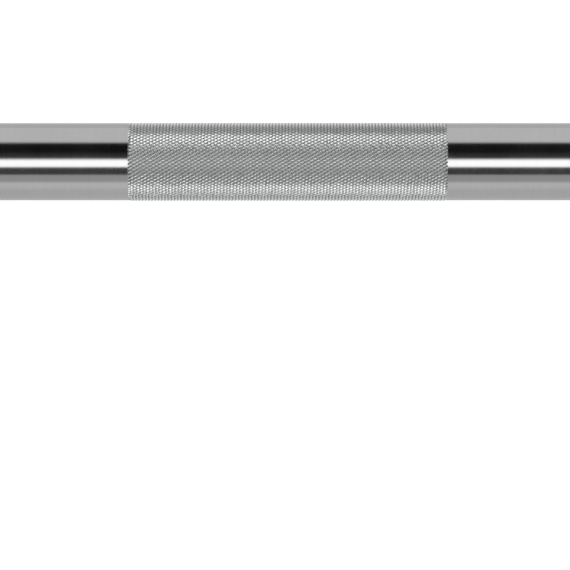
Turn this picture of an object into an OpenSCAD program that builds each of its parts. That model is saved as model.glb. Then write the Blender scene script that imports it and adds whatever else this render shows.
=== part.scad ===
// Full-size barbell of the powerlifting pattern: a knurled steel shaft whose
// two sleeves turn on bronze bushings.
// X runs along the bar, +Z is up, and the origin is the middle of the shaft.
// The right-hand end is drawn, and the left-hand end mirrors it, so each place
// along the bar, called an x here, is a distance from the middle.

/* [Bar] */
// Length of bare shaft between the two collars
grip_span = 1310; // [1200:5:1330]
// Length of each sleeve that takes plates
loadable_length = 415; // [250:5:450]

/* [Shaft] */
// Diameter of the smooth shaft
shaft_d = 29; // [28:0.5:32]
// Diameter of the journals that the sleeves turn on
journal_d = 25; // [23:0.5:26]
// Width of the relief turned where each journal meets its shoulder
relief_w = 1.5; // [1:0.5:3]
// Depth of that relief
relief_depth = 0.4; // [0.2:0.1:0.6]
// Chamfer on each end of the shaft
shaft_chamfer = 1.5; // [0.5:0.5:2.5]
// Diameter of the centre hole drilled in each end for turning
centre_hole_d = 4; // [3:0.5:6]
// Diameter of the centre hole's cone at the end face
centre_cone_d = 8.5; // [7:0.5:12]
// Length of the drilled part below the cone
centre_hole_depth = 5; // [3:0.5:10]

/* [Knurl] */
// Height of the knurl's crests above the smooth shaft
knurl_rise = 0.15; // [0.05:0.05:0.4]
// Length over which a knurl fades out at its ends
knurl_fade = 0.6; // [0.2:0.1:1.5]
// Length of the knurl at the middle of the bar
centre_knurl_length = 120; // [60:5:200]
// Distance from the middle of the bar to the start of each grip's knurl
grip_knurl_start = 210; // [120:5:300]
// Smooth neck between a grip's knurl and the collar
neck_length = 10; // [2:1:40]
// Distance between the two smooth rings that mark the grip
ring_mark_spacing = 810; // [700:5:910]
// Width of each ring mark
ring_mark_w = 5; // [3:0.5:10]

/* [Sleeve] */
// Outer diameter of the sleeve, which takes plates with a 50.4 mm hole
sleeve_d = 50; // [48:0.1:50.2]
// Bore of the sleeve, into which the bushings are pressed
sleeve_bore_d = 32; // [30:0.5:34]
// Chamfer round the open end of the sleeve
sleeve_chamfer = 1.5; // [0.5:0.5:2.5]
// Height of the collar's seat above the sleeve, so that the collar slides on freely up to its seat
collar_seat_rise = 0.4; // [0.3:0.05:0.6]
// Height of the lip on the sleeve that stops the collar
lip_rise = 3; // [1.5:0.5:5]
// Width of that lip
lip_w = 4; // [2:0.5:8]

/* [Collar] */
// Outer diameter of the collar
collar_d = 79; // [68:1:90]
// Width of the collar
collar_w = 30; // [20:1:50]
// Rounding of the collar's rim
collar_edge_r = 3; // [1:0.5:5]

/* [Bushings] */
// Length of each bushing that is pressed into the sleeve
bushing_length = 30; // [20:1:50]
// Thickness of each bushing's flange
bushing_flange_t = 3; // [2:0.5:5]
// Height of the flange above the sleeve's bore
bushing_flange_rise = 2.5; // [2:0.25:3]
// Width of the grease groove inside each bushing
grease_groove_w = 4; // [2:0.5:8]
// Depth of the grease groove
grease_groove_depth = 0.8; // [0.4:0.1:1.5]

/* [Seal and washers] */
// Width of the wiper seal in each collar
seal_w = 5; // [4:0.5:7]
// Distance from the collar's inner face to the seal
seal_recess = 0.5; // [0.2:0.1:1.5]
// Step between the seal's seat and the bushing's seat
seal_step = 0.5; // [0.3:0.1:1]
// Thickness of the wiper seal's ring
seal_ring_t = 1.6; // [1:0.2:2.4]
// Width of the seal's lip where it meets the shaft
seal_lip_w = 0.8; // [0.5:0.1:1.5]
// Thickness of the hardened thrust washers
washer_t = 2.5; // [1.5:0.5:4]
// Chamfer on the edges of the turned rings and bushings
edge_chamfer = 0.3; // [0.1:0.1:0.5]

/* [Spring rings] */
// Gap between a fitted spring ring's lugs
lug_gap = 3; // [2:0.5:4]
// Diameter of the plier holes in the lugs
plier_hole_d = 2; // [1.6:0.1:2.2]

/* [Shaft rings] */
// Thickness of the two spring rings on each journal
shaft_ring_t = 1.2; // [1:0.1:1.5]
// Depth of their grooves in the journal
shaft_groove_depth = 0.55; // [0.4:0.05:0.8]
// Width of a ring opposite its gap
shaft_ring_back = 3; // [2.4:0.2:3.6]
// Width of a ring beside its lugs
shaft_ring_tip = 1.8; // [1.4:0.2:2.2]
// Radius of the lugs
shaft_lug_r = 2.1; // [1.8:0.1:2.4]
// Width of journal between the two grooves
ring_spacing = 2.5; // [2:0.5:4]
// Width of journal between the outer groove and the end of the shaft
ring_land = 5; // [4:0.5:8]

/* [End cap] */
// Depth of the seat that holds the cap, from the end of the sleeve
cap_seat_depth = 12; // [11:0.5:16]
// Step between the outer cavity and the cap's seat
cap_seat_step = 1.5; // [1:0.25:2]
// Thickness of the cap's rim
cap_rim_t = 6; // [5:0.5:7]
// Height of the cap's boss above its rim
cap_boss_h = 4; // [3:0.5:4.5]
// Rounding of the boss
cap_boss_edge_r = 1.2; // [0.5:0.1:2]
// Number of rings turned in the face of the boss
cap_face_rings = 3; // [1:1:4]
// Width of each turned ring
cap_face_ring_w = 0.8; // [0.5:0.1:1]
// Depth of each turned ring
cap_face_ring_depth = 0.4; // [0.2:0.1:0.8]
// Gap between the shaft and the cap
shaft_end_gap = 6; // [3:0.5:12]
// Thickness of the O-ring's cord
o_ring_cord_d = 2; // [1.5:0.25:2.5]
// Thickness of the spring ring that keeps the cap in
cap_ring_t = 1.75; // [1.5:0.05:2]
// Depth of its groove in the sleeve
cap_groove_depth = 1.25; // [1:0.05:1.5]
// Width of the ring opposite its gap
cap_ring_back = 4; // [3.4:0.2:4.4]
// Width of the ring beside its lugs
cap_ring_tip = 2.4; // [2:0.2:2.8]
// Radius of its lugs
cap_lug_r = 2.5; // [2.2:0.1:2.8]

/* [Clearances] */
// Radial clearance between what turns and the shaft
running_gap = 0.05; // [0.02:0.01:0.1]
// Radial clearance left at a pressed or seated fit
seat_gap = 0.02; // [0.01:0.01:0.05]
// Radial clearance of a washer on its journal
washer_gap = 0.1; // [0.05:0.05:0.3]
// Radial clearance round a washer inside the turning sleeve
cavity_gap = 0.5; // [0.3:0.1:1]
// Play of the sleeve along the shaft, at each end
end_float = 0.3; // [0.2:0.05:0.6]
// Gap between the seal and the shoulder of the shaft
shoulder_gap = 1; // [0.5:0.5:3]
// Clearance on each side of a spring ring or an O-ring in its groove
groove_side_gap = 0.05; // [0.02:0.01:0.1]
// Gap between the cap's boss and the spring ring's lugs
boss_gap = 0.8; // [0.5:0.1:1.5]

/* [Hidden] */
lathe_fn = 96;
small_fn = 48;
cone_half_angle = 30;
// How far a cut runs past what it cuts
cut_over = 1;

shaft_r = shaft_d / 2;
journal_r = journal_d / 2;
knurl_r = shaft_r + knurl_rise;
sleeve_r = sleeve_d / 2;
bore_r = sleeve_bore_d / 2;
collar_seat_r = sleeve_r + collar_seat_rise;
lip_r = sleeve_r + lip_rise;
cavity_r = bore_r + bushing_flange_rise;
seal_seat_r = cavity_r + seal_step;
cap_seat_r = cavity_r + cap_seat_step;

// Places along the bar, from the collar's inner face outwards
collar_in_x = grip_span / 2;
collar_out_x = collar_in_x + collar_w;
sleeve_end_x = collar_out_x + loadable_length;
lip_out_x = collar_in_x + lip_w;
seal_x = collar_in_x + seal_recess;
seal_seat_x = seal_x + seal_w;
shoulder_x = seal_seat_x + shoulder_gap;
inner_flange_x = shoulder_x + washer_t + end_float;
inner_seat_x = inner_flange_x + bushing_flange_t;

// Places at the outer end, from the cap's seat inwards
cap_seat_x = sleeve_end_x - cap_seat_depth;
cap_groove_x = cap_seat_x + cap_rim_t;
cap_groove_w = cap_ring_t + 2 * groove_side_gap;
cap_groove_r = cap_seat_r + cap_groove_depth;
shaft_end_x = cap_seat_x - shaft_end_gap;
shaft_groove_w = shaft_ring_t + 2 * groove_side_gap;
shaft_groove_r = journal_r - shaft_groove_depth;
backup_groove_x = shaft_end_x - ring_land - shaft_groove_w;
lock_groove_x = backup_groove_x - ring_spacing - shaft_groove_w;
outer_washer_x = lock_groove_x + groove_side_gap - washer_t;
outer_flange_x = outer_washer_x - end_float;
outer_seat_x = outer_flange_x - bushing_flange_t;

// Places on the knurl
centre_knurl_x = centre_knurl_length / 2;
grip_knurl_end_x = collar_in_x - neck_length;
ring_mark_x = ring_mark_spacing / 2;

// The bar's two ends, and the pieces at each of them
sides = ["right", "left"];
end_pieces = [
    "sleeve_tube", "collar", "shaft_seal", "inner_washer", "inner_bushing", "outer_bushing",
    "outer_washer", "lock_ring", "backup_ring", "end_cap", "cap_o_ring", "cap_ring"
];

// Turns a section, drawn as radius and x, about the bar's axis
module lathe() {
    rotate([0, 90, 0]) rotate_extrude($fn = lathe_fn) children();
}

// Cuts a flat ring shape of one thickness, standing square to the bar at x
module blank(x, thickness) {
    translate([x, 0, 0]) rotate([0, 90, 0]) linear_extrude(thickness) children();
}

// Puts a piece drawn for the right-hand end on either end
module on_side(side) {
    mirror([side == "left" ? 1 : 0, 0, 0]) children();
}

// Section of a plain ring with its four edges chamfered
module chamfered_section(r_in, r_out, x, width, chamfer) {
    polygon([
        [r_in + chamfer, x], [r_out - chamfer, x], [r_out, x + chamfer],
        [r_out, x + width - chamfer], [r_out - chamfer, x + width],
        [r_in + chamfer, x + width], [r_in, x + width - chamfer], [r_in, x + chamfer]
    ]);
}

// Section of a ring or disc whose outer edges are rounded, at both faces or at the far one
module rounded_section(r_in, r_out, x, width, edge_r, both = true) {
    near_x = both ? x + edge_r : x;
    translate([r_in, x]) square([r_out - r_in - edge_r, width]);
    translate([r_in, near_x]) square([r_out - r_in, x + width - edge_r - near_x]);
    translate([r_out - edge_r, x + width - edge_r]) circle(edge_r, $fn = small_fn);
    if (both) translate([r_out - edge_r, near_x]) circle(edge_r, $fn = small_fn);
}

// Outline of a knurled band: it fades in and out at its ends
function knurl_band(x_from, x_to) = [
    [shaft_r, x_from], [knurl_r, x_from + knurl_fade],
    [knurl_r, x_to - knurl_fade], [shaft_r, x_to]
];

// Outline of a square groove in the journal
function journal_groove(x) = [
    [journal_r, x], [shaft_groove_r, x],
    [shaft_groove_r, x + shaft_groove_w], [journal_r, x + shaft_groove_w]
];

// The shaft: knurled grips, shouldered journals, ring grooves and centre holes
module shaft() {
    cone_depth = (centre_cone_d - centre_hole_d) / 2 / tan(cone_half_angle);
    hole_tip_x = shaft_end_x - cone_depth - centre_hole_depth;
    grip = concat(
        [[knurl_r, centre_knurl_x - knurl_fade], [shaft_r, centre_knurl_x]],
        knurl_band(grip_knurl_start, ring_mark_x - ring_mark_w / 2),
        knurl_band(ring_mark_x + ring_mark_w / 2, grip_knurl_end_x)
    );
    journal = concat(
        [
            [shaft_r, shoulder_x - edge_chamfer], [shaft_r - edge_chamfer, shoulder_x],
            [journal_r - relief_depth, shoulder_x], [journal_r - relief_depth, shoulder_x + relief_w],
            [journal_r, shoulder_x + relief_w + relief_depth]
        ],
        journal_groove(lock_groove_x),
        journal_groove(backup_groove_x),
        [[journal_r, shaft_end_x - shaft_chamfer], [journal_r - shaft_chamfer, shaft_end_x]]
    );
    centre_hole = [
        [centre_cone_d / 2, shaft_end_x], [centre_hole_d / 2, shaft_end_x - cone_depth],
        [centre_hole_d / 2, hole_tip_x], [0, hole_tip_x - centre_hole_d / 2 * tan(cone_half_angle)]
    ];
    half = concat(grip, journal, centre_hole);
    far_half = [for (i = [len(half) - 1 : -1 : 0]) [half[i][0], -half[i][1]]];
    color("silver") lathe() polygon(concat(half, far_half));
}

// The sleeve that plates slide on, with a lip at the collar and seats for what it holds
module sleeve_tube() {
    color("gainsboro") lathe() polygon([
        [seal_seat_r, collar_in_x], [seal_seat_r, seal_seat_x],
        [cavity_r, seal_seat_x], [cavity_r, inner_seat_x],
        [bore_r, inner_seat_x], [bore_r, outer_seat_x],
        [cavity_r, outer_seat_x], [cavity_r, cap_seat_x],
        [cap_seat_r, cap_seat_x], [cap_seat_r, cap_groove_x],
        [cap_groove_r, cap_groove_x], [cap_groove_r, cap_groove_x + cap_groove_w],
        [cap_seat_r, cap_groove_x + cap_groove_w], [cap_seat_r, sleeve_end_x - edge_chamfer],
        [cap_seat_r + edge_chamfer, sleeve_end_x], [sleeve_r - sleeve_chamfer, sleeve_end_x],
        [sleeve_r, sleeve_end_x - sleeve_chamfer], [sleeve_r, collar_out_x],
        [collar_seat_r, collar_out_x], [collar_seat_r, lip_out_x],
        [lip_r, lip_out_x], [lip_r, collar_in_x]
    ]);
}

// The collar that stops the plates, pressed along the sleeve against its lip
module collar() {
    color("gainsboro") lathe() difference() {
        rounded_section(collar_seat_r + seat_gap, collar_d / 2, collar_in_x, collar_w, collar_edge_r);
        translate([0, collar_in_x]) square([lip_r + seat_gap, lip_w]);
    }
}

// The rubber wiper that keeps dust and chalk out of the inner bushing
module shaft_seal() {
    outer_r = seal_seat_r - seat_gap;
    lip_edge_r = shaft_r + running_gap;
    lip_x = seal_x + seal_w / 2 - seal_lip_w / 2;
    color("dimgray") lathe() polygon([
        [outer_r, seal_x], [outer_r, seal_seat_x], [outer_r - seal_ring_t, seal_seat_x],
        [lip_edge_r, lip_x + seal_lip_w], [lip_edge_r, lip_x], [outer_r - seal_ring_t, seal_x]
    ]);
}

// A hardened washer that rides on a journal and takes the sleeve's end thrust
module thrust_washer(x) {
    color("slategray") lathe()
        chamfered_section(journal_r + washer_gap, cavity_r - cavity_gap, x, washer_t, edge_chamfer);
}

// A flanged bronze bushing: its flange starts at x, and its body runs on in the direction given
module bushing(x, direction) {
    inner_r = journal_r + running_gap;
    body_r = bore_r - seat_gap;
    total = bushing_flange_t + bushing_length;
    groove_near = bushing_flange_t + bushing_length / 2 - grease_groove_w / 2;
    groove_far = groove_near + grease_groove_w;
    section = [
        [inner_r + edge_chamfer, 0], [cavity_r - seat_gap - edge_chamfer, 0],
        [cavity_r - seat_gap, edge_chamfer], [cavity_r - seat_gap, bushing_flange_t],
        [body_r, bushing_flange_t], [body_r, total - edge_chamfer], [body_r - edge_chamfer, total],
        [inner_r + edge_chamfer, total], [inner_r, total - edge_chamfer],
        [inner_r, groove_far], [inner_r + grease_groove_depth, groove_far],
        [inner_r + grease_groove_depth, groove_near], [inner_r, groove_near], [inner_r, edge_chamfer]
    ];
    color("darkgoldenrod") lathe() polygon([for (p = section) [p[0], x + direction * p[1]]]);
}

// A spring ring that snaps into a groove of the journal, with lugs outside it
module shaft_ring(groove_x) {
    inner_r = shaft_groove_r + seat_gap;
    lug_centre_r = inner_r + shaft_lug_r;
    lug_angle = asin((shaft_lug_r + lug_gap / 2) / lug_centre_r);
    color("dimgray") blank(groove_x + groove_side_gap, shaft_ring_t) difference() {
        union() {
            translate([0, (shaft_ring_tip - shaft_ring_back) / 2])
                circle(inner_r + (shaft_ring_back + shaft_ring_tip) / 2, $fn = lathe_fn);
            ring_lugs(lug_centre_r, lug_angle, shaft_lug_r);
        }
        circle(inner_r, $fn = lathe_fn);
        ring_gap(lug_centre_r + shaft_lug_r + cut_over);
        ring_lugs(lug_centre_r, lug_angle, plier_hole_d / 2);
    }
}

// The spring ring that snaps into the sleeve and keeps the end cap in
module cap_ring() {
    outer_r = cap_groove_r - seat_gap;
    lug_centre_r = outer_r - cap_groove_depth - cap_lug_r;
    lug_angle = asin((cap_lug_r + lug_gap / 2) / lug_centre_r);
    color("dimgray") blank(cap_groove_x + groove_side_gap, cap_ring_t) difference() {
        union() {
            difference() {
                circle(outer_r, $fn = lathe_fn);
                translate([0, (cap_ring_back - cap_ring_tip) / 2])
                    circle(outer_r - (cap_ring_back + cap_ring_tip) / 2, $fn = lathe_fn);
            }
            ring_lugs(lug_centre_r, lug_angle, cap_lug_r);
        }
        ring_gap(outer_r + cut_over);
        ring_lugs(lug_centre_r, lug_angle, plier_hole_d / 2);
    }
}

// Two discs on either side of a spring ring's gap: its lugs, or the plier holes in them
module ring_lugs(centre_r, angle, disc_r) {
    for (turn = [-angle, angle]) rotate(turn) translate([0, centre_r]) circle(disc_r, $fn = small_fn);
}

// The gap of a spring ring, out to the radius given
module ring_gap(r_to) {
    translate([-lug_gap / 2, 0]) square([lug_gap, r_to]);
}

// The end cap: a disc on the cap's seat, with a groove for the O-ring and a turned boss
module end_cap() {
    rim_r = cap_seat_r - seat_gap;
    lug_reach = cap_groove_depth + 2 * cap_lug_r;
    boss_r = cap_groove_r - lug_reach - boss_gap;
    o_groove_w = o_ring_cord_d + 2 * groove_side_gap;
    boss_face_x = cap_groove_x + cap_boss_h;
    ring_pitch = boss_r / (cap_face_rings + 1);
    color("gainsboro") lathe() difference() {
        union() {
            translate([0, cap_seat_x]) square([rim_r, cap_rim_t]);
            rounded_section(0, boss_r, cap_seat_x, cap_rim_t + cap_boss_h, cap_boss_edge_r, both = false);
        }
        translate([rim_r - o_ring_cord_d, cap_seat_x + cap_rim_t / 2 - o_groove_w / 2])
            square([o_ring_cord_d + cut_over, o_groove_w]);
        for (i = [1 : cap_face_rings])
            translate([i * ring_pitch - cap_face_ring_w / 2, boss_face_x - cap_face_ring_depth])
                square([cap_face_ring_w, cap_face_ring_depth + cut_over]);
    }
}

// The O-ring round the end cap, which holds it still against the sleeve
module cap_o_ring() {
    cord_r = o_ring_cord_d / 2 - seat_gap;
    centre_r = cap_seat_r - seat_gap - cord_r;
    color("dimgray") lathe()
        translate([centre_r, cap_seat_x + cap_rim_t / 2]) circle(cord_r, $fn = small_fn);
}

shaft();
for (side = sides) on_side(side) {
    sleeve_tube();
    collar();
    shaft_seal();
    thrust_washer(shoulder_x);
    bushing(inner_flange_x, 1);
    bushing(outer_flange_x, -1);
    thrust_washer(outer_washer_x);
    shaft_ring(lock_groove_x);
    shaft_ring(backup_groove_x);
    end_cap();
    cap_o_ring();
    cap_ring();
}
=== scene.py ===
"""Dresses the barbell: its knurled shaft, the sleeves and collars on it, and the parts inside them.

X runs along the bar, +Z is up and the origin is the middle of the shaft, as in the solids.
The classes give sizes in millimetres and angles in degrees, unless they say otherwise.
"""

import logging
import math
from abc import ABC, abstractmethod
from collections.abc import Sequence
from dataclasses import dataclass, field
from enum import Enum
from typing import ClassVar

import bpy
import numpy as np
from mathutils import Matrix, Vector


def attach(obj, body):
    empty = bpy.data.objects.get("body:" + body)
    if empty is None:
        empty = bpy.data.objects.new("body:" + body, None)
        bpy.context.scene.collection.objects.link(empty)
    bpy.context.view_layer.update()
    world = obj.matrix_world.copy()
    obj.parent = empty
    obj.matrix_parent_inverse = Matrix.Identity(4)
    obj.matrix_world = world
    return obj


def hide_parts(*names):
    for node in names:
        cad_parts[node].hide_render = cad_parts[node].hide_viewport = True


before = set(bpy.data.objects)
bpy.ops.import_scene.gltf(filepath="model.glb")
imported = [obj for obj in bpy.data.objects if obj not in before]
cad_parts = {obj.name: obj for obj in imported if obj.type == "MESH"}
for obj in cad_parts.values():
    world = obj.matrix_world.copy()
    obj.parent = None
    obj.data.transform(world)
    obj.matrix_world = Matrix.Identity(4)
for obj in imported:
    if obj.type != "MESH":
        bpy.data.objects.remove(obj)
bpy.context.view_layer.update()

MM = 0.001
TAU = 2 * math.pi
NOISE_MIDDLE = 0.5
LOG = logging.getLogger("barbell")

Pair = tuple[float, float]
Triple = tuple[float, float, float]
Face = tuple[int, ...]

WHITE: Triple = (1.0, 1.0, 1.0)


class Body(Enum):
    """The three bodies that move against each other."""

    BAR = "bar"
    RIGHT_SLEEVE = "right_sleeve"
    LEFT_SLEEVE = "left_sleeve"


class Side(Enum):
    """The bar's two ends, as the sign of x there."""

    RIGHT = 1
    LEFT = -1

    @property
    def label(self) -> str:
        """The word that starts the names of this end's pieces."""
        return self.name.lower()

    @property
    def sleeve(self) -> Body:
        """The body that turns on this end."""
        return Body.RIGHT_SLEEVE if self is Side.RIGHT else Body.LEFT_SLEEVE


class Slot(Enum):
    """The record's material slots."""

    SHAFT = "shaft_steel"
    SLEEVE = "sleeve_chrome"
    COLLAR = "collar_chrome"
    BUSHING = "bushing_bronze"
    WASHER = "washer_steel"
    SPRING = "spring_steel"
    SEAL = "seal_rubber"
    CAP = "cap_steel"


# Shader maths


class Value:
    """One output of a node, on which Python's operators add Math nodes."""

    def __init__(self, tree: "ShaderTree", socket: bpy.types.NodeSocket) -> None:
        """Wraps a socket.

        Args:
            tree: The tree that the socket's node stands in.
            socket: The output to wrap.
        """
        self.tree = tree
        self.socket = socket

    def _math(self, operation: str, *terms: "Term") -> "Value":
        """Adds one Math node.

        Args:
            operation: The node's operation.
            terms: What goes into its sockets, in order.

        Returns:
            The node's result.
        """
        return self.tree.node("ShaderNodeMath", {"operation": operation}, dict(enumerate(terms)))[0]

    def __add__(self, other: "Term") -> "Value":
        """The sum of the two."""
        return self._math("ADD", self, other)

    __radd__ = __add__

    def __sub__(self, other: "Term") -> "Value":
        """This value less the other."""
        return self._math("SUBTRACT", self, other)

    def __rsub__(self, other: "Term") -> "Value":
        """The other value less this one."""
        return self._math("SUBTRACT", other, self)

    def __mul__(self, other: "Term") -> "Value":
        """The product of the two."""
        return self._math("MULTIPLY", self, other)

    __rmul__ = __mul__

    def __neg__(self) -> "Value":
        """This value with its sign turned."""
        return self._math("MULTIPLY", self, -1.0)

    def length(self, other: "Value") -> "Value":
        """The length of the arrow with these two sides."""
        return self._math("SQRT", self * self + other * other)

    def angle(self, across: "Term") -> "Value":
        """The angle whose tangent is this value over the other, in degrees."""
        return self._math("ARCTAN2", self, across) * math.degrees(1)

    def size(self) -> "Value":
        """This value without its sign."""
        return self._math("ABSOLUTE", self)

    def blend(self, low: "Term", high: "Term") -> "Value":
        """Goes from one value to another as this one goes from 0 to 1.

        Args:
            low: The value at 0.
            high: The value at 1.

        Returns:
            The value in between.
        """
        return self * (high - low) + low

    def ramp(self, low: float, high: float) -> "Value":
        """A smooth step.

        Args:
            low: Where the step starts, at 0.
            high: Where it ends, at 1; below low for a step down.

        Returns:
            The step's height.
        """
        settings = {"interpolation_type": "SMOOTHSTEP", "clamp": True}
        falls = low > high
        inputs = {
            "Value": self,
            "From Min": min(low, high),
            "From Max": max(low, high),
            "To Min": float(falls),
            "To Max": float(not falls),
        }
        return self.tree.node("ShaderNodeMapRange", settings, inputs)[0]


Term = Value | float | Sequence[float]


class ShaderTree:
    """A node tree under construction."""

    def __init__(self, tree: bpy.types.NodeTree) -> None:
        """Empties a tree.

        Args:
            tree: The material's or the world's own tree.
        """
        self.tree = tree
        self.tree.nodes.clear()

    def node(self, kind: str, settings: dict | None = None, inputs: dict | None = None) -> list[Value]:
        """Adds a node.

        Args:
            kind: The node's type.
            settings: Its properties, set before its sockets.
            inputs: What goes into each socket, by name or place.

        Returns:
            The node's outputs, in order.
        """
        made = self.tree.nodes.new(kind)
        for name, setting in (settings or {}).items():
            setattr(made, name, setting)
        for name, term in (inputs or {}).items():
            socket = made.inputs[name]
            if isinstance(term, Value):
                self.tree.links.new(term.socket, socket)
            else:
                socket.default_value = term
        return [Value(self, socket) for socket in made.outputs]

    def coordinates(self, kind: str) -> tuple[Value, Value, Value]:
        """Reads the coordinates of the point that is shaded.

        Args:
            kind: The name of one of the Texture Coordinate node's outputs.

        Returns:
            Its x, y and z.
        """
        place = next(out for out in self.node("ShaderNodeTexCoord") if out.socket.name == kind)
        return tuple(self.node("ShaderNodeSeparateXYZ", inputs={"Vector": place}))

    def noise(self, place: Value, scale: float, detail: float) -> Value:
        """Adds soft noise.

        Args:
            place: The vector to read it at.
            scale: Its features per unit of that vector.
            detail: How many finer octaves it has.

        Returns:
            The noise, about NOISE_MIDDLE.
        """
        inputs = {"Vector": place, "Scale": scale, "Detail": detail}
        return self.node("ShaderNodeTexNoise", inputs=inputs)[0]

    def vector(self, x: Term, y: Term, z: Term) -> Value:
        """A vector of three values."""
        return self.node("ShaderNodeCombineXYZ", inputs={"X": x, "Y": y, "Z": z})[0]

    def mix(self, share: Term, first: Term, second: Term) -> Value:
        """Mixes two colours.

        Args:
            share: How much of the second colour there is, from 0 to 1.
            first: The first colour.
            second: The second colour.

        Returns:
            The mixed colour.
        """
        # a Mix node lists its sockets for every data type, and the colours' own are these
        factor_socket, first_socket, second_socket, result = 0, 6, 7, 2
        terms = {factor_socket: share, first_socket: first, second_socket: second}
        return self.node("ShaderNodeMix", {"data_type": "RGBA"}, terms)[result]


@dataclass(frozen=True)
class TurnedPlace:
    """Where a surface point lies on a turned piece, in millimetres."""

    x: Value
    y: Value
    z: Value
    r: Value

    @classmethod
    def on(cls, tree: ShaderTree) -> "TurnedPlace":
        """Reads the place from the object's own coordinates, which a turning sleeve carries along.

        Args:
            tree: The tree to add the nodes to.

        Returns:
            The place.
        """
        x, y, z = (metres * (1 / MM) for metres in tree.coordinates("Object"))
        return cls(x, y, z, y.length(z))


# Finishes


def rgba(colour: Triple) -> tuple[float, float, float, float]:
    """A colour with its alpha."""
    return (*colour, 1.0)


@dataclass(frozen=True)
class Finish(ABC):
    """What every finish has: a colour, a second one that it varies to, and a roughness."""

    name: str
    slot: Slot
    colour: Triple
    worn_colour: Triple
    roughness: float

    metallic: ClassVar[float]
    bump_strength: ClassVar[float]

    def material(self) -> bpy.types.Material:
        """Makes the finish, or finds it where it is already made.

        Returns:
            The material.
        """
        made = bpy.data.materials.get(self.name)
        if made is None:
            made = bpy.data.materials.new(self.name)
            made.use_nodes = True
            self.paint(ShaderTree(made.node_tree))
        return made

    @abstractmethod
    def paint(self, tree: ShaderTree) -> None:
        """Builds the nodes.

        Args:
            tree: The material's tree.
        """

    def shade(self, tree: ShaderTree, colour: Value, roughness: Value, height: Value, depth: float) -> None:
        """Adds the shader and the material's output.

        Args:
            tree: The material's tree.
            colour: The surface's colour.
            roughness: Its roughness.
            height: Its bumps, from 0 to 1.
            depth: The height of a bump, in millimetres.
        """
        relief = {"Strength": self.bump_strength, "Distance": depth * MM, "Height": height}
        look = {
            "Base Color": colour,
            "Metallic": self.metallic,
            "Roughness": roughness,
            "Normal": tree.node("ShaderNodeBump", inputs=relief)[0],
        }
        shader = tree.node("ShaderNodeBsdfPrincipled", inputs=look)[0]
        tree.node("ShaderNodeOutputMaterial", inputs={"Surface": shader})


@dataclass(frozen=True)
class TurnedMetal(Finish):
    """Bare or plated metal, turned and polished on a lathe, so its lines run round the axis.

    Stains lie over the lines, and the worn colour comes through where the two together rise from
    worn_from to worn_to. A finish with a cavity_r has painted shade below that radius, darkening its
    grooves.
    """

    roughness_swing: float = 0.06
    line_width: float = 0.35
    line_run: float = 9.0
    line_depth: float = 0.0004
    stain_size: float = 14.0
    stain_share: float = 0.4
    detail: float = 3.0
    worn_from: float = 0.3
    worn_to: float = 0.7
    cavity_r: float = 0.0
    cavity_fade: float = 0.12
    painted_shade_tone: float = 0.45
    painted_shade_cover: float = 0.7

    metallic: ClassVar[float] = 1.0
    bump_strength: ClassVar[float] = 1.0

    def paint(self, tree: ShaderTree) -> None:
        """Builds the nodes.

        Args:
            tree: The material's tree.
        """
        at = TurnedPlace.on(tree)
        across, along = 1 / self.line_width, 1 / self.line_run
        lines_at = tree.vector(at.x * across, at.r * across, (at.y + at.z) * along)
        lines = tree.noise(lines_at, 1.0, self.detail)
        stains = tree.noise(tree.vector(at.x, at.y, at.z), 1 / self.stain_size, self.detail)
        streaks = lines * (1 - self.stain_share) + stains * self.stain_share
        worn = streaks.ramp(self.worn_from, self.worn_to)
        colour = tree.mix(worn, rgba(self.colour), rgba(self.worn_colour))
        # painted shade: below cavity_r the colour darkens, standing in for the shade in the knurl's grooves
        if self.cavity_r:
            deep = at.r.ramp(self.cavity_r + self.cavity_fade, self.cavity_r)
            painted_shade = tuple(self.painted_shade_tone * part for part in self.colour)
            colour = tree.mix(deep * self.painted_shade_cover, colour, rgba(painted_shade))
        roughness = self.roughness + (streaks - NOISE_MIDDLE) * (2 * self.roughness_swing)
        self.shade(tree, colour, roughness, lines, self.line_depth)


@dataclass(frozen=True)
class MouldedRubber(Finish):
    """Black moulded rubber with a fine grain and a faint bloom."""

    roughness_swing: float = 0.1
    grains_per_mm: float = 6.0
    grain_detail: float = 4.0
    grain_depth: float = 0.02
    blooms_per_mm: float = 0.25
    bloom_detail: float = 3.0
    bloom_from: float = 0.45
    bloom_to: float = 0.75

    metallic: ClassVar[float] = 0.0
    bump_strength: ClassVar[float] = 0.6

    def paint(self, tree: ShaderTree) -> None:
        """Builds the nodes.

        Args:
            tree: The material's tree.
        """
        at = TurnedPlace.on(tree)
        place = tree.vector(at.x, at.y, at.z)
        grain = tree.noise(place, self.grains_per_mm, self.grain_detail)
        clouds = tree.noise(place, self.blooms_per_mm, self.bloom_detail)
        bloom = clouds.ramp(self.bloom_from, self.bloom_to)
        colour = tree.mix(bloom, rgba(self.colour), rgba(self.worn_colour))
        roughness = self.roughness + (grain - NOISE_MIDDLE) * (2 * self.roughness_swing)
        self.shade(tree, colour, roughness, grain, self.grain_depth)


GROUND_STEEL = TurnedMetal(
    name="ground_shaft",
    slot=Slot.SHAFT,
    colour=(0.57, 0.57, 0.57),
    worn_colour=(0.60, 0.60, 0.60),
    roughness=0.14,
)
KNURLED_STEEL = TurnedMetal(
    name="knurled_shaft",
    slot=Slot.SHAFT,
    colour=(0.64, 0.655, 0.645),
    worn_colour=(0.68, 0.695, 0.685),
    roughness=0.27,
    line_depth=0.0002,
    # painted shade darkens the knurl's grooves below this radius
    cavity_r=14.3,
)
RING_STEEL = TurnedMetal(
    name="ring_mark_shaft",
    slot=Slot.SHAFT,
    colour=(0.56, 0.56, 0.56),
    worn_colour=(0.62, 0.62, 0.62),
    roughness=0.2,
    line_depth=0.0015,
    line_run=3.0,
)
SLEEVE_CHROME = TurnedMetal(
    name="sleeve_chrome",
    slot=Slot.SLEEVE,
    colour=(0.62, 0.62, 0.63),
    worn_colour=(0.67, 0.67, 0.67),
    roughness=0.13,
    line_depth=0.0008,
)
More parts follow.
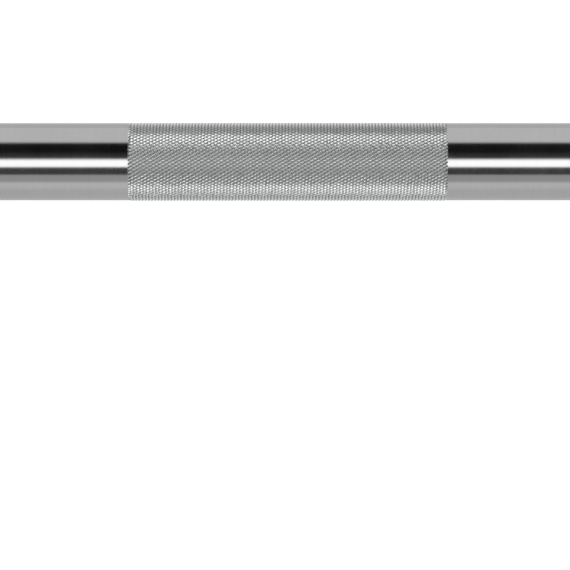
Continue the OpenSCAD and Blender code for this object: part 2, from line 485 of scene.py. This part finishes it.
COLLAR_CHROME = TurnedMetal(
    name="collar_chrome",
    slot=Slot.COLLAR,
    colour=(0.60, 0.60, 0.61),
    worn_colour=(0.65, 0.65, 0.65),
    roughness=0.15,
    line_depth=0.001,
)
CAP_STEEL = TurnedMetal(
    name="cap_steel",
    slot=Slot.CAP,
    colour=(0.54, 0.54, 0.55),
    worn_colour=(0.62, 0.62, 0.62),
    roughness=0.26,
    line_depth=0.003,
)
BRONZE = TurnedMetal(
    name="bushing_bronze",
    slot=Slot.BUSHING,
    colour=(0.55, 0.33, 0.13),
    worn_colour=(0.66, 0.44, 0.20),
    roughness=0.34,
    line_depth=0.003,
)
WASHER_STEEL = TurnedMetal(
    name="washer_steel",
    slot=Slot.WASHER,
    colour=(0.34, 0.35, 0.37),
    worn_colour=(0.42, 0.42, 0.43),
    roughness=0.3,
    line_depth=0.002,
)
SPRING_STEEL = TurnedMetal(
    name="spring_steel",
    slot=Slot.SPRING,
    colour=(0.10, 0.10, 0.11),
    worn_colour=(0.17, 0.16, 0.16),
    roughness=0.38,
    line_depth=0.002,
)
RUBBER = MouldedRubber(
    name="seal_rubber",
    slot=Slot.SEAL,
    colour=(0.022, 0.022, 0.022),
    worn_colour=(0.06, 0.06, 0.058),
    roughness=0.62,
)


# Meshes


def new_object(
    name: str, vertices: Sequence[Triple], faces: Sequence[Face], sharp_angle: float | None
) -> bpy.types.Object:
    """Makes a mesh object.

    Args:
        name: The piece's name.
        vertices: Its vertices, in millimetres.
        faces: Its faces, as places in the list of vertices.
        sharp_angle: The angle in degrees from which an edge shows; None for a mesh whose edges all show.

    Returns:
        The object, in the scene.
    """
    mesh = bpy.data.meshes.new(name)
    mesh.from_pydata((np.asarray(vertices, float) * MM).tolist(), [], faces)
    mesh.update()
    if sharp_angle is not None:
        mesh.shade_smooth()
        mesh.set_sharp_from_angle(angle=math.radians(sharp_angle))
    made = bpy.data.objects.new(name, mesh)
    bpy.context.scene.collection.objects.link(made)
    return made


def dress(piece: bpy.types.Object, body: Body, finish: Finish, *nodes: str) -> bpy.types.Object:
    """Finishes a piece and hands it to the frame.

    Args:
        piece: The piece.
        body: The body that it rides on.
        finish: Its finish.
        nodes: The solids that it stands for.

    Returns:
        The piece.
    """
    piece.data.materials.append(finish.material())
    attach(piece, body.value)
    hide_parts(*nodes)
    return piece


def rounded(corners: Sequence[Triple], steps: int = 5) -> list[Pair]:
    """Rounds the corners of a closed section.

    Args:
        corners: Each corner's x, its radius from the axis, and the radius of its rounding.
        steps: The number of edges along each rounding.

    Returns:
        The section's points, as x and radius.
    """
    points: list[Pair] = []
    for i, (x, r, edge_r) in enumerate(corners):
        here = Vector((x, r))
        if edge_r == 0:
            points.append((x, r))
            continue
        back = Vector(corners[i - 1][:2]) - here
        ahead = Vector(corners[(i + 1) % len(corners)][:2]) - here
        half = back.angle(ahead) / 2
        reach = edge_r / math.tan(half)
        start, end = here + back.normalized() * reach, here + ahead.normalized() * reach
        centre = here + (back.normalized() + ahead.normalized()).normalized() * (edge_r / math.sin(half))
        for step in range(steps + 1):
            # slerp gives an arrow of length 1
            points.append(tuple(centre + (start - centre).slerp(end - centre, step / steps) * edge_r))
    return points


@dataclass(frozen=True)
class Lathe:
    """Turns closed sections into meshes about the bar's axis."""

    segments: int = 192
    sharp_angle: float = 28.0

    def turn(self, name: str, section: Sequence[Pair], side: Side) -> bpy.types.Object:
        """Turns a section.

        Args:
            name: The piece's name.
            section: Its points in order, as x and radius; a point on the axis has radius 0.
            side: The end of the bar that it is for; the left end mirrors the right.

        Returns:
            The piece.
        """
        angles = np.arange(self.segments) * (TAU / self.segments)
        vertices: list[Triple] = []
        rings: list[list[int]] = []
        for x, r in section:
            first = len(vertices)
            if r == 0:
                vertices.append((x, 0.0, 0.0))
                rings.append([first] * self.segments)
            else:
                vertices += [(x, r * math.cos(a), r * math.sin(a)) for a in angles]
                rings.append(list(range(first, first + self.segments)))
        faces: list[Face] = []
        for ring, following in zip(rings, rings[1:] + rings[:1]):
            for j in range(self.segments):
                k = (j + 1) % self.segments
                corners = dict.fromkeys((ring[j], ring[k], following[k], following[j]))
                if len(corners) > 2:
                    faces.append(tuple(corners))
        # a section that runs the other way round turns its faces inwards, and so does mirroring
        area = sum(a[0] * b[1] - b[0] * a[1] for a, b in zip(section, [*section[1:], section[0]]))
        if (area > 0) != (side is Side.LEFT):
            faces = [face[::-1] for face in faces]
        vertices = [(side.value * x, y, z) for x, y, z in vertices]
        return new_object(name, vertices, faces, self.sharp_angle)


@dataclass
class RolledMesh:
    """A mesh under construction on the bar's outside, from one place along it to another.

    Its vertices are given by x, angle and radius, with angles in radians. Each face is also laid out flat
    in a UV map, along the bar and round it, with an overlap where a full turn ends.
    """

    x_from: float
    x_to: float
    overlap: float
    spots: list[Triple] = field(default_factory=list)
    faces: list[Face] = field(default_factory=list)
    layout: list[Pair] = field(default_factory=list)

    def vertex(self, x: float, turn: float, r: float) -> int:
        """Adds a vertex.

        Args:
            x: Its place along the bar.
            turn: Its angle round the bar.
            r: Its radius.

        Returns:
            Its place in the list of vertices.
        """
        self.spots.append((x, turn, r))
        return len(self.spots) - 1

    def face(self, turn: float, *places: int) -> None:
        """Adds a face.

        Args:
            turn: The angle round the bar that it is laid out about.
            places: Its vertices, as places in the list.
        """
        self.faces.append(places)
        for place in places:
            x, own_turn, _ = self.spots[place]
            own_turn += TAU * round((turn - own_turn) / TAU)
            along = (x - self.x_from) / (self.x_to - self.x_from)
            self.layout.append((along, (own_turn + self.overlap) / (TAU + 2 * self.overlap)))

    def close(self) -> None:
        """Closes the mesh with a disc at each end, inside the shaft."""
        for end, along, clockwise in ((self.x_from, 0.0, True), (self.x_to, 1.0, False)):
            rim = [(turn % TAU, i) for i, (x, turn, _) in enumerate(self.spots) if math.isclose(x, end)]
            rim.sort(reverse=clockwise)
            self.faces.append(tuple(i for _, i in rim))
            self.layout += [(along, turn / TAU) for turn, _ in rim]

    def piece(self, name: str) -> bpy.types.Object:
        """Makes the piece, with its flat layout in a UV map named OFBake.

        Args:
            name: The piece's name.

        Returns:
            The piece.
        """
        vertices = [(x, r * math.cos(turn), r * math.sin(turn)) for x, turn, r in self.spots]
        made = new_object(name, vertices, self.faces, sharp_angle=None)
        layer = made.data.uv_layers.new(name="OFBake")
        layer.data.foreach_set("uv", np.asarray(self.layout, np.float32).ravel())
        return made


@dataclass(frozen=True)
class Knurl:
    """Diamonds rolled into the shaft: small pyramids with flat tops between two sets of slanting grooves.

    One set of grooves is pressed in deeper: halfway between two crossings, the other set's grooves lie
    higher by the bias. The swings are how far sizes vary from diamond to diamond, and the tongues are the
    smooth metal that runs on between the last grooves.
    """

    starts: int = 66
    diamond_length: float = 2.4
    crest_r: float = 14.65
    valley_r: float = 14.13
    smooth_r: float = 14.5
    flat_share: float = 0.17
    flat_swing: float = 0.05
    crest_swing: float = 0.035
    valley_swing: float = 0.04
    bias: float = 0.17
    tongue_length: float = 0.7
    tongue_share: float = 0.55
    seed: int = 7

    def roll(self, name: str, x_from: float, x_to: float) -> bpy.types.Object:
        """Rolls one stretch of the shaft.

        Args:
            name: The piece's name.
            x_from: Where the stretch starts.
            x_to: Where it ends.

        Returns:
            The piece, closed at both ends.
        """
        return KnurledStretch(self, x_from, x_to).piece(name)


class KnurledStretch:
    """A knurled stretch under construction: columns of diamonds, every other one half a diamond round."""

    def __init__(self, knurl: Knurl, x_from: float, x_to: float) -> None:
        """Sets out the columns, and the low corners that neighbouring diamonds share.

        Args:
            knurl: The knurl's sizes.
            x_from: Where the stretch starts.
            x_to: Where it ends.
        """
        self.knurl = knurl
        self.columns = round((x_to - x_from) / (knurl.diamond_length / 2))
        self.step = (x_to - x_from) / self.columns
        self.pitch = TAU / knurl.starts
        self.chance = np.random.default_rng(knurl.seed)
        self.mesh = RolledMesh(x_from, x_to, overlap=self.pitch)
        self.corners = [
            [self._corner(column, j) for j in range(knurl.starts)] for column in range(self.columns + 1)
        ]
        self.groove_middles: dict[tuple[int, int], int] = {}

    def piece(self, name: str) -> bpy.types.Object:
        """Rolls every diamond and closes the ends.

        Args:
            name: The piece's name.

        Returns:
            The piece.
        """
        for column in range(self.columns + 1):
            for j in range(self.knurl.starts):
                if column in (0, self.columns):
                    self._tongue(column, j)
                else:
                    self._diamond(column, j)
        self.mesh.close()
        return self.mesh.piece(name)

    def _place(self, column: int, j: int, half: int) -> Pair:
        """The x and the angle of a place in a column, half a diamond on where half is 1."""
        return self.mesh.x_from + column * self.step, (j + 0.5 * half) * self.pitch

    def _corner(self, column: int, j: int) -> int:
        """Adds a low corner, where grooves cross.

        Args:
            column: Its column.
            j: Its number in the column.

        Returns:
            Its place in the mesh.
        """
        depth_left = self.knurl.valley_swing * self.chance.uniform(0, 1)
        return self.mesh.vertex(*self._place(column, j, column % 2), self.knurl.valley_r + depth_left)

    def _beside(self, column: int, j: int) -> tuple[int, int]:
        """The low corners below and above a diamond, which lie in its own column."""
        after = (j + (column + 1) % 2) % self.knurl.starts
        return self.corners[column][after - 1], self.corners[column][after]

    def _groove_middle(self, column: int, j: int, along: int, up: int) -> int:
        """Adds the middle of one of a diamond's grooves, once for the two diamonds that share it.

        Args:
            column: The diamond's column.
            j: Its number in the column.
            along: -1 for a groove to its left, 1 for one to its right.
            up: -1 for a groove below it, 1 for one above it.

        Returns:
            Its place in the mesh.
        """
        half = (column + 1) % 2
        # half columns along the bar and quarters of a diamond round it, as whole numbers
        key = (2 * column + along, (4 * j + 2 * half + up) % (4 * self.knurl.starts))
        if key not in self.groove_middles:
            x, turn = self._place(column, j, half)
            r = self.knurl.valley_r + (self.knurl.bias if along != up else 0.0)
            middle = self.mesh.vertex(x + along * self.step / 2, turn + up * self.pitch / 4, r)
            self.groove_middles[key] = middle
        return self.groove_middles[key]

    def _tongue(self, column: int, j: int) -> None:
        """Adds the half diamond at the stretch's end, with the tongue of smooth metal that runs into it.

        Args:
            column: The first column or the last.
            j: Its number in the column.
        """
        x, turn = self._place(column, j, (column + 1) % 2)
        low, high = self._beside(column, j)
        inward = 1 if column == 0 else -1
        half = self.pitch / 2 * self.knurl.tongue_share
        bottom = self.mesh.vertex(x, turn - half, self.knurl.smooth_r)
        top = self.mesh.vertex(x, turn + half, self.knurl.smooth_r)
        peak = self.mesh.vertex(x + inward * self.knurl.tongue_length, turn, self.knurl.smooth_r)
        tip = self.corners[column + inward][j]
        under, over = (self._groove_middle(column, j, inward, up) for up in (-1, 1))
        for places in (
            (low, bottom, under),
            (under, bottom, peak),
            (under, peak, tip),
            (top, high, over),
            (top, over, peak),
            (over, tip, peak),
            (bottom, top, peak),
        ):
            self.mesh.face(turn, *places[::inward])

    def _diamond(self, column: int, j: int) -> None:
        """Adds a diamond: a flat top, and round it three faces to each of its four grooves.

        Args:
            column: Its column.
            j: Its number in the column.
        """
        knurl = self.knurl
        x, turn = self._place(column, j, (column + 1) % 2)
        flat = knurl.flat_share + knurl.flat_swing * self.chance.uniform(-1, 1)
        heights = knurl.crest_r - knurl.crest_swing * self.chance.uniform(0, 1, 4)
        long, wide = self.step * flat, self.pitch / 2 * flat
        low, high = self._beside(column, j)
        outer = [self.corners[column - 1][j], low, self.corners[column + 1][j], high]
        spread = [(-long, 0.0), (0.0, -wide), (long, 0.0), (0.0, wide)]
        inner = [self.mesh.vertex(x + dx, turn + dt, r) for (dx, dt), r in zip(spread, heights)]
        for here, (along, up) in enumerate(((-1, -1), (1, -1), (1, 1), (-1, 1))):
            there = (here + 1) % len(inner)
            groove = self._groove_middle(column, j, along, up)
            self.mesh.face(turn, inner[here], groove, outer[here])
            self.mesh.face(turn, inner[there], outer[there], groove)
            self.mesh.face(turn, inner[here], inner[there], groove)
        self.mesh.face(turn, *inner[::-1])


# The barbell


@dataclass(frozen=True)
class Shaft:
    """The steel bar that a lifter grips, with its knurls, ring marks, necks and journals."""

    smooth_r: float = 14.5
    centre_knurl_end: float = 59.45
    grip_start: float = 210.0
    ring_mark_in: float = 402.5
    ring_mark_out: float = 407.5
    grip_end: float = 645.0
    shoulder: float = 661.5
    journal_r: float = 12.5
    relief_w: float = 1.5
    relief_depth: float = 0.4
    groove_places: Pair = (1071.9, 1075.7)
    groove_w: float = 1.3
    groove_r: float = 11.95
    end: float = 1082.0
    end_chamfer: float = 1.5
    hole_r: float = 2.0
    hole_depth: float = 5.0
    hole_tip_angle: float = 120.0
    cone_r: float = 4.25
    cone_angle: float = 60.0
    shoulder_edge: float = 0.3
    chamfer_edge: float = 0.2
    relief_edge: float = 0.2
    fine_edge: float = 0.1
    groove_edge: float = 0.08
    knurl: Knurl = field(default_factory=Knurl)
    lathe: Lathe = field(default_factory=Lathe)

    def build(self) -> list[bpy.types.Object]:
        """Builds every stretch of the shaft.

        Returns:
            Its pieces.
        """
        pieces = [self._knurled("shaft_centre_knurl", -self.centre_knurl_end, self.centre_knurl_end)]
        for side in Side:
            for label, inner, outer in (
                ("inner_knurl", self.grip_start, self.ring_mark_in),
                ("outer_knurl", self.ring_mark_out, self.grip_end),
            ):
                ends = sorted((side.value * inner, side.value * outer))
                pieces.append(self._knurled(f"shaft_{side.label}_{label}", *ends))
            for label, section, finish in (
                ("span", self._plain_section(self.centre_knurl_end, self.grip_start), GROUND_STEEL),
                ("ring_mark", self._plain_section(self.ring_mark_in, self.ring_mark_out), RING_STEEL),
                ("journal", self._journal_section(), GROUND_STEEL),
            ):
                turned = self.lathe.turn(f"shaft_{side.label}_{label}", section, side)
                pieces.append(dress(turned, Body.BAR, finish, "shaft"))
        return pieces

    def _knurled(self, name: str, x_from: float, x_to: float) -> bpy.types.Object:
        """Builds a knurled stretch from one place along the bar to another."""
        return dress(self.knurl.roll(name, x_from, x_to), Body.BAR, KNURLED_STEEL, "shaft")

    def _plain_section(self, x_from: float, x_to: float) -> list[Pair]:
        """The section of a smooth stretch from one place along the bar to another."""
        return [(x_from, 0.0), (x_from, self.smooth_r), (x_to, self.smooth_r), (x_to, 0.0)]

    def _journal_section(self) -> list[Pair]:
        """The section from the end of the grip to the end of the shaft, with the centre hole.

        Returns:
            The section's points.
        """
        relief_r = self.journal_r - self.relief_depth
        relief_end = self.shoulder + self.relief_w
        cone_depth = (self.cone_r - self.hole_r) / math.tan(math.radians(self.cone_angle / 2))
        tip_depth = self.hole_r / math.tan(math.radians(self.hole_tip_angle / 2))
        hole_end = self.end - cone_depth - self.hole_depth
        corners = [
            (self.grip_end, 0.0, 0.0),
            (self.grip_end, self.smooth_r, 0.0),
            (self.shoulder, self.smooth_r, self.shoulder_edge),
            (self.shoulder, relief_r, self.relief_edge),
            (relief_end, relief_r, self.relief_edge),
            (relief_end + self.relief_depth, self.journal_r, self.fine_edge),
        ]
        for place in self.groove_places:
            corners += [
                (place, self.journal_r, self.groove_edge),
                (place, self.groove_r, self.groove_edge),
                (place + self.groove_w, self.groove_r, self.groove_edge),
                (place + self.groove_w, self.journal_r, self.groove_edge),
            ]
        corners += [
            (self.end - self.end_chamfer, self.journal_r, self.chamfer_edge),
            (self.end, self.journal_r - self.end_chamfer, self.chamfer_edge),
            (self.end, self.cone_r, self.fine_edge),
            (self.end - cone_depth, self.hole_r, 0.0),
            (hole_end, self.hole_r, 0.0),
            (hole_end - tip_depth, 0.0, 0.0),
        ]
        return rounded(corners)


@dataclass(frozen=True)
class SleeveEnd:
    """One end of the bar: the sleeve, its collar and cap, and the parts that they hold."""

    side: Side
    collar_in: float = 655.0
    collar_out: float = 685.0
    collar_r: float = 39.5
    collar_edge: float = 3.0
    collar_edge_steps: int = 8
    lip_out: float = 659.0
    lip_r: float = 28.0
    collar_seat_r: float = 25.4
    sleeve_r: float = 25.0
    sleeve_end: float = 1100.0
    sleeve_chamfer: float = 1.5
    bore_r: float = 16.0
    cavity_r: float = 18.5
    seal_seat_end: float = 660.5
    seal_seat_r: float = 19.0
    inner_seat: float = 667.3
    outer_seat: float = 1066.15
    cap_in: float = 1088.0
    cap_seat_r: float = 20.0
    cap_rim_w: float = 6.0
    cap_ring_groove_w: float = 1.85
    cap_ring_groove_r: float = 21.25
    cap_face: float = 1098.0
    boss_r: float = 14.2
    boss_edge: float = 1.2
    face_rings: int = 3
    face_ring_pitch: float = 3.55
    face_ring_w: float = 0.8
    face_ring_depth: float = 0.4
    o_ring_groove_w: float = 2.1
    o_ring_groove_r: float = 17.98
    fit: float = 0.02
    edge: float = 0.3
    rim_edge: float = 0.2
    fine_edge: float = 0.1
    groove_edge: float = 0.05
    lathe: Lathe = field(default_factory=Lathe)

    def build(self) -> list[bpy.types.Object]:
        """Builds and dresses everything at this end.

        Returns:
            Its pieces.
        """
        pieces = []
        for label, section, finish in (
            ("sleeve_tube", self._sleeve_section(), SLEEVE_CHROME),
            ("collar", self._collar_section(), COLLAR_CHROME),
            ("end_cap", self._cap_section(), CAP_STEEL),
        ):
            node = f"{self.side.label}_{label}"
            turned = self.lathe.turn(f"{node}_turned", section, self.side)
            pieces.append(dress(turned, self.side.sleeve, finish, node))
        for label, finish in (
            ("shaft_seal", RUBBER),
            ("inner_washer", WASHER_STEEL),
            ("inner_bushing", BRONZE),
            ("outer_bushing", BRONZE),
            ("outer_washer", WASHER_STEEL),
            ("lock_ring", SPRING_STEEL),
            ("backup_ring", SPRING_STEEL),
            ("cap_o_ring", RUBBER),
            ("cap_ring", SPRING_STEEL),
        ):
            pieces.append(self._finish_solid(f"{self.side.label}_{label}", finish))
        return pieces

    @staticmethod
    def _finish_solid(node: str, finish: Finish) -> bpy.types.Object:
        """Gives a solid that stays as it is its finish.

        Args:
            node: The solid's name.
            finish: Its finish.

        Returns:
            The solid.
        """
        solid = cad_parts[node]
        for slot in solid.material_slots:
            slot.material = finish.material()
        return solid

    def _sleeve_section(self) -> list[Pair]:
        """The sleeve: a tube with a lip at the collar and seats for what it holds.

        Returns:
            The section's points.
        """
        groove_x = self.cap_in + self.cap_rim_w
        groove_end = groove_x + self.cap_ring_groove_w
        return rounded(
            [
                (self.collar_in, self.seal_seat_r, self.edge),
                (self.collar_in, self.lip_r, 0.0),
                (self.lip_out, self.lip_r, 0.0),
                (self.lip_out, self.collar_seat_r, 0.0),
                (self.collar_out, self.collar_seat_r, 0.0),
                (self.collar_out, self.sleeve_r, 0.0),
                (self.sleeve_end - self.sleeve_chamfer, self.sleeve_r, self.edge),
                (self.sleeve_end, self.sleeve_r - self.sleeve_chamfer, self.edge),
                (self.sleeve_end, self.cap_seat_r + self.edge, self.fine_edge),
                (self.sleeve_end - self.edge, self.cap_seat_r, self.fine_edge),
                (groove_end, self.cap_seat_r, self.groove_edge),
                (groove_end, self.cap_ring_groove_r, self.groove_edge),
                (groove_x, self.cap_ring_groove_r, self.groove_edge),
                (groove_x, self.cap_seat_r, self.groove_edge),
                (self.cap_in, self.cap_seat_r, 0.0),
                (self.cap_in, self.cavity_r, 0.0),
                (self.outer_seat, self.cavity_r, 0.0),
                (self.outer_seat, self.bore_r, 0.0),
                (self.inner_seat, self.bore_r, 0.0),
                (self.inner_seat, self.cavity_r, 0.0),
                (self.seal_seat_end, self.cavity_r, 0.0),
                (self.seal_seat_end, self.seal_seat_r, 0.0),
            ]
        )

    def _collar_section(self) -> list[Pair]:
        """The collar: a ring with a rounded rim, bored for the sleeve's seat and its lip.

        Returns:
            The section's points.
        """
        bore_r, lip_bore_r = self.collar_seat_r + self.fit, self.lip_r + self.fit
        corners = [
            (self.collar_in, lip_bore_r, self.fine_edge),
            (self.collar_in, self.collar_r, self.collar_edge),
            (self.collar_out, self.collar_r, self.collar_edge),
            (self.collar_out, bore_r, self.rim_edge),
            (self.lip_out, bore_r, 0.0),
            (self.lip_out, lip_bore_r, 0.0),
        ]
        return rounded(corners, self.collar_edge_steps)

    def _cap_section(self) -> list[Pair]:
        """The end cap: a disc with a groove for its O-ring, and a boss with rings turned in its face.

        Returns:
            The section's points.
        """
        rim_r, rim_end = self.cap_seat_r - self.fit, self.cap_in + self.cap_rim_w
        groove_in = self.cap_in + self.cap_rim_w / 2 - self.o_ring_groove_w / 2
        groove_out = self.cap_in + self.cap_rim_w / 2 + self.o_ring_groove_w / 2
        corners = [
            (self.cap_in, 0.0, 0.0),
            (self.cap_in, rim_r, self.rim_edge),
            (groove_in, rim_r, self.groove_edge),
            (groove_in, self.o_ring_groove_r, self.groove_edge),
            (groove_out, self.o_ring_groove_r, self.groove_edge),
            (groove_out, rim_r, self.groove_edge),
            (rim_end, rim_r, self.rim_edge),
            (rim_end, self.boss_r, self.edge),
            (self.cap_face, self.boss_r, self.boss_edge),
        ]
        for i in range(self.face_rings, 0, -1):
            ring_out = i * self.face_ring_pitch + self.face_ring_w / 2
            ring_in = i * self.face_ring_pitch - self.face_ring_w / 2
            corners += [
                (self.cap_face, ring_out, self.fine_edge),
                (self.cap_face - self.face_ring_depth, ring_out, self.fine_edge),
                (self.cap_face - self.face_ring_depth, ring_in, self.fine_edge),
                (self.cap_face, ring_in, self.fine_edge),
            ]
        return rounded([*corners, (self.cap_face, 0.0, 0.0)])


# The studio


@dataclass(frozen=True)
class Band:
    """A strip of the studio along the bar, up to an angle round it.

    It has one light over the middle of the bar and others to the left and the right.
    """

    top: float
    left: float
    middle: float
    right: float
    softness: float


@dataclass(frozen=True)
class Studio:
    """A white floor, and round it walls, a strip light and dark flags that all run along the bar.

    Angles are taken round the bar, from the horizon on the camera's side up over it to the far side.
    Starts and stops are leans, from 0 for a direction square to the bar to 1 for one along it. The light to
    the left and the right sets in from the first to the second of its starts and fades out from the second
    to the first of its stops, and the even light past the bar's ends sets in over its own starts.
    """

    bands: tuple[Band, ...] = (
        Band(top=-30.0, left=0.95, middle=0.6, right=0.5, softness=20.0),
        Band(top=-5.0, left=0.95, middle=0.7, right=0.5, softness=9.0),
        Band(top=19.0, left=1.0, middle=0.42, right=0.0, softness=4.0),
        Band(top=42.5, left=0.95, middle=0.045, right=2.4, softness=7.0),
        Band(top=65.0, left=1.2, middle=1.7, right=2.4, softness=10.0),
        Band(top=83.0, left=0.25, middle=0.03, right=0.65, softness=16.0),
        Band(top=117.0, left=0.25, middle=0.004, right=0.65, softness=10.0),
        Band(top=180.0, left=0.45, middle=0.73, right=1.1, softness=20.0),
    )
    side_starts: Pair = (0.19, 0.31)
    side_stops: Pair = (0.76, 0.66)
    end_starts: Pair = (0.8, 0.95)
    end_light: float = 0.8
    seen_light: float = 1.0
    floor_z: float = -39.5
    floor_half: float = 40000.0
    floor_colour: Triple = (0.62, 0.62, 0.62)
    floor_roughness: float = 0.9
    floor_sheen: float = 0.1
    floor_glow: float = 0.76

    def build(self) -> None:
        """Makes the world and the floor, and shows their light as it falls."""
        bpy.context.scene.view_settings.view_transform = "Standard"
        self._light_world()
        self._lay_floor()

    def _light_world(self) -> None:
        """Makes the light round the bar; the camera itself sees plain white beyond the floor."""
        world = bpy.data.worlds.new("studio")
        world.use_nodes = True
        bpy.context.scene.world = world
        tree = ShaderTree(world.node_tree)
        x, y, z = tree.coordinates("Generated")
        over = z.angle(-y)
        to_left, to_right = (way.ramp(*self.side_starts) * way.ramp(*self.side_stops) for way in (-x, x))
        radiance: Term = 0.0
        past: Term = 1.0
        for band in self.bands:
            light = to_right.blend(to_left.blend(band.middle, band.left), band.right)
            radiance = past * (light - radiance) + radiance
            past = over.ramp(band.top - band.softness / 2, band.top + band.softness / 2)
        radiance = x.size().ramp(*self.end_starts).blend(radiance, self.end_light)
        lit, seen = (
            tree.node("ShaderNodeBackground", inputs={"Color": rgba(WHITE), "Strength": strength})[0]
            for strength in (radiance, self.seen_light)
        )
        is_camera_ray, *_ = tree.node("ShaderNodeLightPath")
        both = tree.node("ShaderNodeMixShader", inputs={0: is_camera_ray, 1: lit, 2: seen})[0]
        tree.node("ShaderNodeOutputWorld", inputs={"Surface": both})

    def _lay_floor(self) -> None:
        """Lays the floor that the collars stand on."""
        half, z = self.floor_half, self.floor_z
        corners = [(-half, -half, z), (half, -half, z), (half, half, z), (-half, half, z)]
        floor = new_object("floor", corners, [(0, 1, 2, 3)], sharp_angle=None)
        material = bpy.data.materials.new("floor")
        material.use_nodes = True
        tree = ShaderTree(material.node_tree)
        look = {
            "Base Color": rgba(self.floor_colour),
            "Roughness": self.floor_roughness,
            "Specular IOR Level": self.floor_sheen,
            "Emission Color": rgba(WHITE),
            "Emission Strength": self.floor_glow,
        }
        shader = tree.node("ShaderNodeBsdfPrincipled", inputs=look)[0]
        tree.node("ShaderNodeOutputMaterial", inputs={"Surface": shader})
        floor.data.materials.append(material)
        # the floor glows, so polished metal shows the studio's light below the horizon in its place
        floor.visible_glossy = False


@dataclass(frozen=True)
class Viewpoint:
    """The camera: square to the bar, looking down on it, with the bar above the middle of the picture.

    The frame's width and the places of the bar's middle in it are measured at the bar's axis.
    """

    distance: float = 1300.0
    elevation: float = 60.0
    frame_width: float = 213.85
    bar_above_middle: float = 46.22
    bar_right_of_middle: float = 1.03
    sensor_width: float = 36.0
    nearest: float = 50.0
    farthest: float = 200000.0

    def build(self) -> None:
        """Makes the scene's camera."""
        tilt = math.radians(self.elevation)
        back = Vector((0.0, -math.cos(tilt), math.sin(tilt)))
        up = Vector((0.0, math.sin(tilt), math.cos(tilt)))
        right = Vector((1.0, 0.0, 0.0))
        target = -up * self.bar_above_middle - right * self.bar_right_of_middle
        data = bpy.data.cameras.new("camera")
        data.sensor_width = self.sensor_width
        data.lens = self.sensor_width * self.distance / self.frame_width
        data.clip_start = self.nearest * MM
        data.clip_end = self.farthest * MM
        camera = bpy.data.objects.new("camera", data)
        turned = Matrix((right, up, back)).transposed().to_4x4()
        camera.matrix_world = Matrix.Translation((target + back * self.distance) * MM) @ turned
        bpy.context.scene.collection.objects.link(camera)
        bpy.context.scene.camera = camera


def main() -> None:
    """Builds the camera, the studio and the barbell, and reports each piece."""
    logging.basicConfig(level=logging.INFO, format="%(message)s")
    Viewpoint().build()
    Studio().build()
    for assembly in (Shaft(), *(SleeveEnd(side) for side in Side)):
        for piece in assembly.build():
            LOG.info("%s: %d faces, %s", piece.name, len(piece.data.polygons), piece.active_material.name)


if __name__ == "__main__":
    main()
